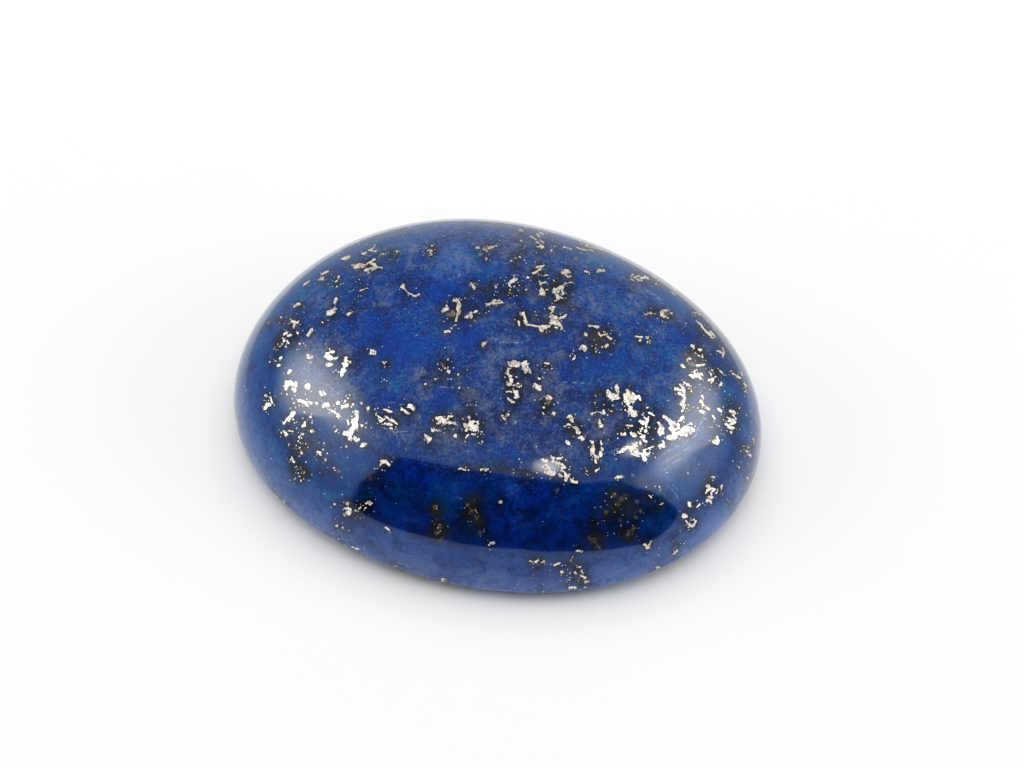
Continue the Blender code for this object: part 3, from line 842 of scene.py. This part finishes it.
# Colours, as linear light
INDIGO = (0.0020, 0.0260, 0.1120, 1.0)
ULTRAMARINE_BLUE = (0.0006, 0.0440, 0.1800, 1.0)
DEEP_ULTRAMARINE = (0.0003, 0.0380, 0.2250, 1.0)
TEAL_BLUE = (0.0020, 0.0800, 0.2050, 1.0)
DEEP_TEAL = (0.0008, 0.0760, 0.1560, 1.0)
SKY_AND_PAINTED_LIGHT_BLUE = (0.0650, 0.1350, 0.3500, 1.0)
GREY_BLUE = (0.0800, 0.0980, 0.1750, 1.0)
NAVY = (0.0010, 0.0140, 0.0550, 1.0)
# Painted light: the colour of the low flanks, paler for the floor's light that they catch
PAINTED_RIM_LIGHT = (0.1000, 0.1560, 0.3700, 1.0)
# Pale speckle, partly painted glitter of the polish's reflection
PALE_SPECKLE_AND_SHEEN = (0.1500, 0.1800, 0.2700, 1.0)
DARK_MATRIX_COLOUR = (0.0130, 0.0150, 0.0160, 1.0)
OLIVE_MATRIX_COLOUR = (0.0900, 0.0780, 0.0500, 1.0)
FLECK_RIM = (0.0140, 0.0100, 0.0070, 1.0)
PYRITE = (0.900, 0.835, 0.780, 1.0)
TARNISHED_PYRITE = (0.650, 0.560, 0.455, 1.0)
# Painted shade for the flecks in the dark band, and the colour of dull pyrite elsewhere
DULL_AND_SHADED_PYRITE = (0.200, 0.185, 0.145, 1.0)
# Colour of the pale lines, also of the painted highlight streaks
PALE_LINE_AND_STREAK_BLUE = (0.240, 0.310, 0.440, 1.0)


# Polish. The ripples are its slight unevenness.
STONE_IOR = 1.5
STONE_ROUGHNESS = 0.085
METAL_ROUGHNESS = 0.46
RIPPLE_STRENGTH = 0.10
RIPPLE_HEIGHT = 0.02 * MM

# Noise textures: scale per millimetre, detail, roughness, distortion
RIPPLES = (1.1, 3.0, 0.5)
LARGE_CLOUDS = (0.45, 3.0, 0.60, 0.5)
MIDDLE_CLOUDS = (1.5, 4.0, 0.68, 0.4)
LOOSE_CLOUDS = (0.9, 5.0, 0.78, 0.6)
ROUGH_CLOUDS = (2.4, 4.0, 0.80)
BLUE_SPECKLE = (7.0, 4.0, 0.8)
PALE_SPECKLE_AND_SHEEN_NOISE = (9.0, 3.0, 0.8)
MATRIX_PATCHES = (2.6, 4.0, 0.65, 0.4)
MATRIX_SPECKLE = (9.0, 3.0, 0.7)
LINE_AND_STREAK_BREAKS = (5.0,)
RAGGED_EDGE = (15.0, 2.0, 0.7)
RIM_BREAKS = (3.5, 2.0)
DULL_MOTTLE = (5.0, 3.0, 0.7)
TARNISH_PATCHES = (3.0, 3.0, 0.7)
CRACK_PLACES = (2.2,)

# Crystal cells per millimetre, in the flecks and round them
GRAIN_CELLS = 5.0
CRUMB_CELLS = 8.0

# How the painted flecks' outlines change: the cells move them by up to about half this share of
# the half width, which counts up to a largest value, and the fine noise by up to about half so
# many pixels. All flecks then get thinner by some pixels.
CELL_JAG = 1.1
FINE_JAG = 3.2
WIDEST_JAG = 2.6
FLECK_THINNING = 0.30

# Heights on the stone between which something sets in, in millimetres
PAINTED_RIM_LIGHT_LEVELS = (4.4, 1.0)
CROWN_LEVELS = (5.2, 7.4)
SPECKLE_LEVELS = (4.5, 6.5)


def stone_material():
    material = bpy.data.materials.new("lapis_lazuli_stone")
    material.use_nodes = True
    tree = material.node_tree
    tree.nodes.clear()
    place = add(tree, "TexCoord").outputs["Object"]
    place = add(tree, "VectorMath", {0: place, "Scale": 1.0 / MM}, operation="SCALE").outputs[0]
    colour = blue_body(tree, place)
    colour = with_matrix(tree, place, colour)
    metal, colour = with_pyrite(tree, place, colour)
    bump = add(tree, "Bump", {
        "Height": noise(tree, place, *RIPPLES),
        "Strength": RIPPLE_STRENGTH,
        "Distance": RIPPLE_HEIGHT,
    })
    shader = add(tree, "BsdfPrincipled", {
        "Base Color": colour,
        "Metallic": metal,
        "Roughness": ramp(tree, metal, 0.0, 1.0, STONE_ROUGHNESS, METAL_ROUGHNESS),
        "Normal": bump.outputs[0],
        "IOR": STONE_IOR,
    })
    output = add(tree, "OutputMaterial", {"Surface": shader.outputs[0]})
    output.is_active_output = True
    return material


def shaded(tree, colour, amount):
    """A colour times a number."""
    grey = add(tree, "CombineColor", {0: amount, 1: amount, 2: amount}).outputs[0]
    return blend(tree, 1.0, colour, grey, "MULTIPLY")


def blue_body(tree, place):
    """Clouded blues, from indigo to ultramarine, teal and grey, with a fine crystalline grain.

    Some of it is painted light: the paler low flanks, patches by the rims and side highlights,
    and part of the grain, which grows toward the crown.
    """
    large = noise(tree, place, *LARGE_CLOUDS)
    middle = noise(tree, place, *MIDDLE_CLOUDS)
    cloud = noise(tree, place, *LOOSE_CLOUDS)
    rough = noise(tree, place, *ROUGH_CLOUDS)
    hue = plus(tree, times(tree, large, 0.5), times(tree, middle, 0.5))
    colour = blend(tree, ramp(tree, hue, 0.43, 0.51), INDIGO, ULTRAMARINE_BLUE)
    colour = blend(tree, ramp(tree, hue, 0.54, 0.64), colour, TEAL_BLUE)
    teal = times(tree, painted(tree, "teal"), ramp(tree, middle, 0.36, 0.60, 0.4, 1.2))
    colour = blend(tree, calc(tree, "MINIMUM", teal, 1.0), colour, DEEP_TEAL)
    rich = times(tree, painted(tree, "ultramarine"), ramp(tree, middle, 0.34, 0.54))
    colour = blend(tree, rich, colour, DEEP_ULTRAMARINE)
    # Sky-blue patches; those at the rims and in the right highlight are painted light
    sky_and_painted_light = times(tree, painted(tree, "sky_and_painted_light"), ramp(tree, middle, 0.34, 0.58, 0.3, 1.0))
    colour = blend(tree, sky_and_painted_light, colour, SKY_AND_PAINTED_LIGHT_BLUE)
    height = add(tree, "SeparateXYZ", {0: place}).outputs["Z"]
    # Paler toward the base: painted light from the floor on the low flanks
    pale = ramp(tree, height, *PAINTED_RIM_LIGHT_LEVELS)
    pale = times(tree, pale, ramp(tree, cloud, 0.36, 0.58, 0.45, 0.95))
    colour = blend(tree, pale, colour, PAINTED_RIM_LIGHT)
    dark = plus(tree, painted(tree, "navy"), ramp(tree, rough, 0.46, 0.30, 0.0, 0.45))
    dark = times(tree, dark, ramp(tree, middle, 0.62, 0.40, 0.4, 1.0))
    colour = blend(tree, calc(tree, "MINIMUM", dark, 0.9), colour, NAVY)
    crown = ramp(tree, height, *CROWN_LEVELS)
    loose = times(tree, ramp(tree, cloud, 0.42, 0.66, 0.03, 0.8), crown)
    # Grey veils; the patches beside the left highlight are painted highlight haze
    veil_and_haze = plus(tree, painted(tree, "grey"), loose)
    veil_and_haze = calc(tree, "SUBTRACT", veil_and_haze, painted(tree, "ultramarine"))
    veil_and_haze = times(tree, veil_and_haze, ramp(tree, rough, 0.34, 0.60, 0.25, 1.1))
    colour = blend(tree, ramp(tree, veil_and_haze, 0.0, 1.0), colour, GREY_BLUE)
    # Fine grain, stronger toward the crown: partly real grain, partly painted glitter of the
    # polish's reflection
    speckle = ramp(tree, noise(tree, place, *BLUE_SPECKLE), 0.36, 0.64, -0.27, 0.27)
    speckle = times(tree, speckle, ramp(tree, height, *SPECKLE_LEVELS, 0.45, 1.0))
    colour = shaded(tree, colour, plus(tree, speckle, 1.0))
    # Pale speckle toward the crown: partly painted glitter of the polish's reflection
    pale_speckle_and_sheen = ramp(tree, noise(tree, place, *PALE_SPECKLE_AND_SHEEN_NOISE), 0.48, 0.70, 0.0, 0.60)
    pale_speckle_and_sheen = times(tree, pale_speckle_and_sheen, ramp(tree, crown, 0.0, 1.0, 0.25, 0.85))
    pale_speckle_and_sheen = times(tree, pale_speckle_and_sheen, ramp(tree, painted(tree, "ultramarine"), 0.0, 0.6, 1.0, 0.35))
    return blend(tree, pale_speckle_and_sheen, colour, PALE_SPECKLE_AND_SHEEN)


def with_matrix(tree, place, colour):
    """Greenish-black and olive-brown matrix over the blue."""
    patch = noise(tree, place, *MATRIX_PATCHES)
    fine = noise(tree, place, *MATRIX_SPECKLE)
    dark = times(tree, painted(tree, "matrix"), ramp(tree, patch, 0.34, 0.58, 0.30, 1.35))
    dark = times(tree, dark, ramp(tree, fine, 0.32, 0.58, 0.50, 1.25))
    colour = blend(tree, calc(tree, "MINIMUM", dark, 0.95), colour, DARK_MATRIX_COLOUR)
    brown = times(tree, painted(tree, "matrix"), ramp(tree, fine, 0.52, 0.66, 0.0, 0.7))
    olive = times(tree, painted(tree, "olive"), ramp(tree, patch, 0.35, 0.58, 0.3, 1.1))
    olive = times(tree, olive, ramp(tree, fine, 0.34, 0.56, 0.5, 1.0))
    olive = calc(tree, "MINIMUM", calc(tree, "MAXIMUM", olive, brown), 0.9)
    return blend(tree, olive, colour, OLIVE_MATRIX_COLOUR)


def with_pyrite(tree, place, colour):
    """Flush angular metal flecks, crumbs round them, scratches, painted highlight streaks."""
    # Pale lines: fine scratches, and in the side highlights painted streaks of highlight
    line = ramp(tree, painted(tree, "hairline_and_streak"), -0.9, 0.7, 0.0, 0.55)
    line = times(tree, line, ramp(tree, noise(tree, place, *LINE_AND_STREAK_BREAKS), 0.38, 0.60))
    colour = blend(tree, line, colour, PALE_LINE_AND_STREAK_BLUE)
    cells = {"Vector": place, "Scale": GRAIN_CELLS}
    grains = add(tree, "TexVoronoi", cells)
    grain = add(tree, "SeparateColor", {"Color": grains.outputs["Color"]})
    edges = add(tree, "TexVoronoi", cells, feature="DISTANCE_TO_EDGE")
    width = calc(tree, "MINIMUM", painted(tree, "pyrite_width"), WIDEST_JAG)
    jag = times(tree, calc(tree, "SUBTRACT", grain.outputs[0], 0.5), CELL_JAG)
    narrow = calc(tree, "SUBTRACT", noise(tree, place, *RAGGED_EDGE), 0.5)
    ragged = plus(tree, times(tree, jag, width), times(tree, narrow, FINE_JAG))
    fleck = calc(tree, "SUBTRACT", plus(tree, painted(tree, "pyrite"), ragged), FLECK_THINNING)
    dull_and_shaded = plus(tree, painted(tree, "dull_and_shaded_pyrite"), ragged)
    outline = ramp(tree, noise(tree, place, *RIM_BREAKS), 0.42, 0.60, 0.12, 1.0)
    outline = times(tree, outline, ramp(tree, fleck, -2.0, -0.4, 0.0, 0.85))
    colour = blend(tree, outline, colour, FLECK_RIM)
    crumbs = add(tree, "TexVoronoi", {"Vector": place, "Scale": CRUMB_CELLS}, distance="CHEBYCHEV")
    kept = add(tree, "SeparateColor", {"Color": crumbs.outputs["Color"]}).outputs[0]
    closeness = ramp(tree, painted(tree, "pyrite"), -5.5, -1.5, 0.0, 0.12)
    closeness = plus(tree, closeness, times(tree, painted(tree, "matrix"), 0.30))
    kept = ramp(tree, plus(tree, kept, closeness), 0.990, 1.00)
    crumb = times(tree, ramp(tree, crumbs.outputs["Distance"], 0.24, 0.12), kept)
    bright = calc(tree, "MAXIMUM", ramp(tree, fleck, -0.3, 0.3), times(tree, crumb, 0.85))
    mottle = ramp(tree, noise(tree, place, *DULL_MOTTLE), 0.36, 0.60, 0.15, 1.0)
    dim = times(tree, ramp(tree, dull_and_shaded, -2.4, 1.2), mottle)
    tarnish = ramp(tree, noise(tree, place, *TARNISH_PATCHES), 0.36, 0.52)
    metal_colour = blend(tree, tarnish, TARNISHED_PYRITE, PYRITE)
    # Each crystal cell a little lighter or darker: partly tarnish, partly painted shine of facets
    # facing the light at different angles
    metal_colour = shaded(tree, metal_colour, ramp(tree, grain.outputs[1], 0.0, 1.0, 0.66, 1.04))
    crack = ramp(tree, edges.outputs["Distance"], 0.11, 0.03, 0.0, 0.8)
    crack = times(tree, crack, ramp(tree, noise(tree, place, *CRACK_PLACES), 0.42, 0.54))
    crack = times(tree, crack, ramp(tree, width, 1.2, 2.2))
    metal_colour = blend(tree, crack, metal_colour, FLECK_RIM)
    colour = blend(tree, bright, colour, metal_colour)
    # Dim flecks: in the dark band painted shade, the dark that their metal mirrors
    colour = blend(tree, dim, colour, DULL_AND_SHADED_PYRITE)
    metal = calc(tree, "MAXIMUM", bright, times(tree, dim, 0.3))
    return metal, colour


# Floor, light, and what the polish mirrors: a white surround, a dark front, and soft glows at
# both sides and in front. The floor close to the stone is mirrored too.
FLOOR_SIZE = 6.0
FLOOR_STEPS = 64
GLOW_SIDES = 48
NEAR_FLOOR = (0.019, 0.016)
FLOOR_COLOUR = (0.900, 0.900, 0.898, 1.0)
OVERHEAD_WHITE = 0.82
BEHIND_WHITE = 0.60
BESIDE_WHITE = 1.00
FRONT_WHITE = 0.20
AMBIENT_WHITE = 0.30
LAMP_DISTANCE = 0.35
CARD_DISTANCE = 0.30
CARD_COLOUR = (0.004, 0.004, 0.005, 1.0)

# Lamps: name, azimuth and elevation as seen from the stone, width and height in degrees, radiance
LAMPS = (
    ("key_lamp", 176.0, 78.0, 74.0, 64.0, 1.91),
    ("left_lamp", -88.0, 30.0, 44.0, 20.0, 3.0),
    ("right_lamp", 80.0, 29.0, 40.0, 24.0, 3.2),
)

# Glows: name, azimuth, elevation, half width and half height in degrees, turn, radiance
GLOWS = (
    ("left_glow", -90.0, 26.0, 38.0, 21.0, 15.0, 6.4),
    ("left_streak", -87.0, 29.5, 22.0, 7.5, 18.0, 6.0),
    ("left_haze", -74.0, 16.0, 38.0, 23.0, 8.0, 2.0),
    ("right_glow", 88.0, 22.0, 46.0, 20.0, -8.0, 5.3),
    ("right_streak", 80.0, 25.5, 26.0, 8.5, -8.0, 6.0),
    ("right_haze", 78.0, 10.0, 38.0, 20.0, 0.0, 2.2),
    ("front_glint", 12.0, 47.0, 7.0, 5.0, 0.0, 12.0),
    ("right_glint", 61.0, 42.0, 8.0, 5.0, 0.0, 8.0),
)

# The card, as seen from the stone: azimuth, lowest and highest elevation, in degrees
FRONT_CARD = (
    (-49.5, -6.0, 10.0),
    (-47.0, -9.5, 25.0),
    (-44.5, -12.0, 34.0),
    (-36.0, -12.0, 37.0),
    (-23.0, -9.3, 40.2),
    (-4.0, -6.2, 41.0),
    (12.0, -8.3, 39.5),
    (22.0, -11.3, 37.5),
    (41.0, -17.3, 32.5),
    (49.0, -13.0, 22.0),
    (52.8, -8.0, 14.0),
    (55.2, -5.0, 2.0),
)


def toward(azimuth, elevation):
    """A direction from the stone. Azimuth 0 is the camera's side, and grows to its right."""
    turn = math.radians(azimuth) + CAMERA_AZIMUTH
    rise = math.radians(elevation)
    return Vector((
        math.sin(turn) * math.cos(rise),
        -math.cos(turn) * math.cos(rise),
        math.sin(rise),
    ))


def plain_material(name, colour, roughness):
    material = bpy.data.materials.new(name)
    material.use_nodes = True
    shader = material.node_tree.nodes["Principled BSDF"]
    shader.inputs["Base Color"].default_value = colour
    shader.inputs["Roughness"].default_value = roughness
    return material


def make_floor():
    """The floor as two pieces, one round the stone and one from there outwards."""
    paint = plain_material("floor_paint", FLOOR_COLOUR, 0.9)
    inner = [place_on_oval(step, *NEAR_FLOOR) for step in range(FLOOR_STEPS)]
    outer = [place_on_oval(step, FLOOR_SIZE / 2, FLOOR_SIZE / 2) for step in range(FLOOR_STEPS)]
    near_floor = flat_piece("near_floor", [inner], paint)
    far_floor = flat_piece("floor", [inner, outer], paint)
    far_floor.visible_glossy = False
    return near_floor, far_floor


def place_on_oval(step, half_length, half_width):
    turn = 2.0 * math.pi * step / FLOOR_STEPS
    return half_length * math.cos(turn), half_width * math.sin(turn), 0.0


def object_of(sheet, name, material):
    """Turns a sheet that is being built into an object, which isn't in the scene yet."""
    mesh = bpy.data.meshes.new(name)
    sheet.to_mesh(mesh)
    sheet.free()
    mesh.materials.append(material)
    return bpy.data.objects.new(name, mesh)


def flat_piece(name, rings, paint):
    """A sheet inside one ring of points, or between two."""
    sheet = bmesh.new()
    made = [[sheet.verts.new(point) for point in ring] for ring in rings]
    if len(made) == 1:
        sheet.faces.new(made[0])
    else:
        for step in range(FLOOR_STEPS):
            after = (step + 1) % FLOOR_STEPS
            sheet.faces.new((made[0][step], made[1][step], made[1][after], made[0][after]))
    piece = object_of(sheet, name, paint)
    bpy.context.scene.collection.objects.link(piece)
    return piece


def make_front_card():
    """A dark sheet in front of the stone, which its polish mirrors and which shades it a little.

    The camera doesn't see it.
    """
    sheet = bmesh.new()
    lows = [sheet.verts.new(toward(turn, low) * CARD_DISTANCE) for turn, low, _ in FRONT_CARD]
    highs = [sheet.verts.new(toward(turn, high) * CARD_DISTANCE) for turn, _, high in FRONT_CARD]
    for left in range(len(FRONT_CARD) - 1):
        sheet.faces.new((lows[left], lows[left + 1], highs[left + 1], highs[left]))
    paint = plain_material("card_paint", CARD_COLOUR, 1.0)
    card = only_mirrored(object_of(sheet, "front_card", paint))
    card.visible_diffuse = True
    card.visible_shadow = True
    return card


def make_lamp(name, azimuth, elevation, wide, high, radiance):
    lamp = bpy.data.lights.new(name, "AREA")
    lamp.shape = "ELLIPSE"
    lamp.size = 2.0 * LAMP_DISTANCE * math.tan(math.radians(wide / 2))
    lamp.size_y = 2.0 * LAMP_DISTANCE * math.tan(math.radians(high / 2))
    area = math.pi / 4 * lamp.size * lamp.size_y
    lamp.energy = radiance * math.pi * area
    made = bpy.data.objects.new(name, lamp)
    direction = toward(azimuth, elevation)
    made.location = direction * LAMP_DISTANCE + Vector((0.0, 0.0, HEIGHT / 2))
    made.rotation_mode = "QUATERNION"
    made.rotation_quaternion = direction.to_track_quat("Z", "Y")
    made.visible_camera = False
    made.visible_glossy = False
    bpy.context.scene.collection.objects.link(made)


def glow_material(name, radiance):
    """Light that fades from the card's middle to its edge."""
    material = bpy.data.materials.new(name)
    material.use_nodes = True
    tree = material.node_tree
    tree.nodes.clear()
    fade = ramp(tree, painted(tree, "fade"), 0.0, 1.0)
    emitter = add(tree, "Emission", {"Strength": radiance})
    clear = add(tree, "BsdfTransparent")
    mixed = add(tree, "MixShader", {0: fade, 1: clear.outputs[0], 2: emitter.outputs[0]})
    add(tree, "OutputMaterial", {"Surface": mixed.outputs[0]}).is_active_output = True
    return material


def make_glow(name, azimuth, elevation, half_width, half_height, turn, radiance):
    """A round card of soft light that only the stone's polish sees."""
    disc = bmesh.new()
    bmesh.ops.create_circle(disc, cap_ends=False, segments=GLOW_SIDES, radius=1.0)
    rim = list(disc.verts)
    middle = disc.verts.new((0.0, 0.0, 0.0))
    for start, end in zip(rim, rim[1:] + rim[:1]):
        disc.faces.new((middle, start, end))
    disc.verts.index_update()
    card = object_of(disc, name, glow_material(name, radiance))
    fade = [1.0 - math.hypot(vert.co.x, vert.co.y) for vert in card.data.vertices]
    card.data.attributes.new("fade", "FLOAT", "POINT").data.foreach_set("value", fade)
    direction = toward(azimuth, elevation)
    card.location = direction * CARD_DISTANCE
    card.rotation_mode = "QUATERNION"
    spin = Quaternion((0.0, 0.0, 1.0), math.radians(turn))
    card.rotation_quaternion = direction.to_track_quat("Z", "Y") @ spin
    card.scale = (
        CARD_DISTANCE * math.tan(math.radians(half_width)),
        CARD_DISTANCE * math.tan(math.radians(half_height)),
        1.0,
    )
    return only_mirrored(card)


def only_mirrored(card):
    card.visible_camera = False
    card.visible_diffuse = False
    card.visible_transmission = False
    card.visible_shadow = False
    bpy.context.scene.collection.objects.link(card)
    return card


def make_light():
    """White all round for the polish, brightest in front, and a weaker white as soft fill."""
    world = bpy.data.worlds.new("soft_white")
    world.use_nodes = True
    tree = world.node_tree
    direction = add(tree, "TexCoord").outputs["Generated"]
    ahead = add(tree, "VectorMath", {0: direction, 1: toward(0.0, 0.0)}, operation="DOT_PRODUCT")
    ahead = ahead.outputs["Value"]
    rise = add(tree, "SeparateXYZ", {0: direction}).outputs["Z"]
    around = ramp(tree, ahead, -0.9, 0.1, BEHIND_WHITE, BESIDE_WHITE)
    around = plus(tree, around, ramp(tree, ahead, 0.3, 0.8, 0.0, FRONT_WHITE))
    share = ramp(tree, rise, 0.98, 0.70)
    around = times(tree, calc(tree, "SUBTRACT", around, OVERHEAD_WHITE), share)
    mirrored = plus(tree, around, OVERHEAD_WHITE)
    fill = add(tree, "LightPath").outputs["Is Diffuse Ray"]
    change = times(tree, fill, calc(tree, "SUBTRACT", AMBIENT_WHITE, mirrored))
    background = tree.nodes["Background"]
    tree.links.new(plus(tree, mirrored, change), background.inputs["Strength"])
    background.inputs["Color"].default_value = (1.0, 1.0, 1.0, 1.0)
    bpy.context.scene.world = world
    for lamp in LAMPS:
        make_lamp(*lamp)


# The picture's own contrast, from scene light to shown light: deep shadows, lively middle. It is
# set on the curve that all three colours share.
COMBINED_CURVE = 3
TONE_CURVE = (
    (0.000, 0.000), (0.025, 0.008), (0.055, 0.026), (0.090, 0.062), (0.130, 0.118),
    (0.190, 0.208), (0.310, 0.370), (0.600, 0.690), (0.850, 0.905), (1.000, 1.000),
)


def set_picture():
    settings = bpy.context.scene.view_settings
    settings.view_transform = "Standard"
    settings.use_curve_mapping = True
    mapping = settings.curve_mapping
    tones = mapping.curves[COMBINED_CURVE]
    for scene_light, shown_light in TONE_CURVE[1:-1]:
        tones.points.new(scene_light, shown_light)
    mapping.update()


make_camera()
set_picture()
make_light()
stone = make_stone()
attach(stone, "root")
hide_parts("stone")
make_floor()
make_front_card()
[make_glow(*glow) for glow in GLOWS]
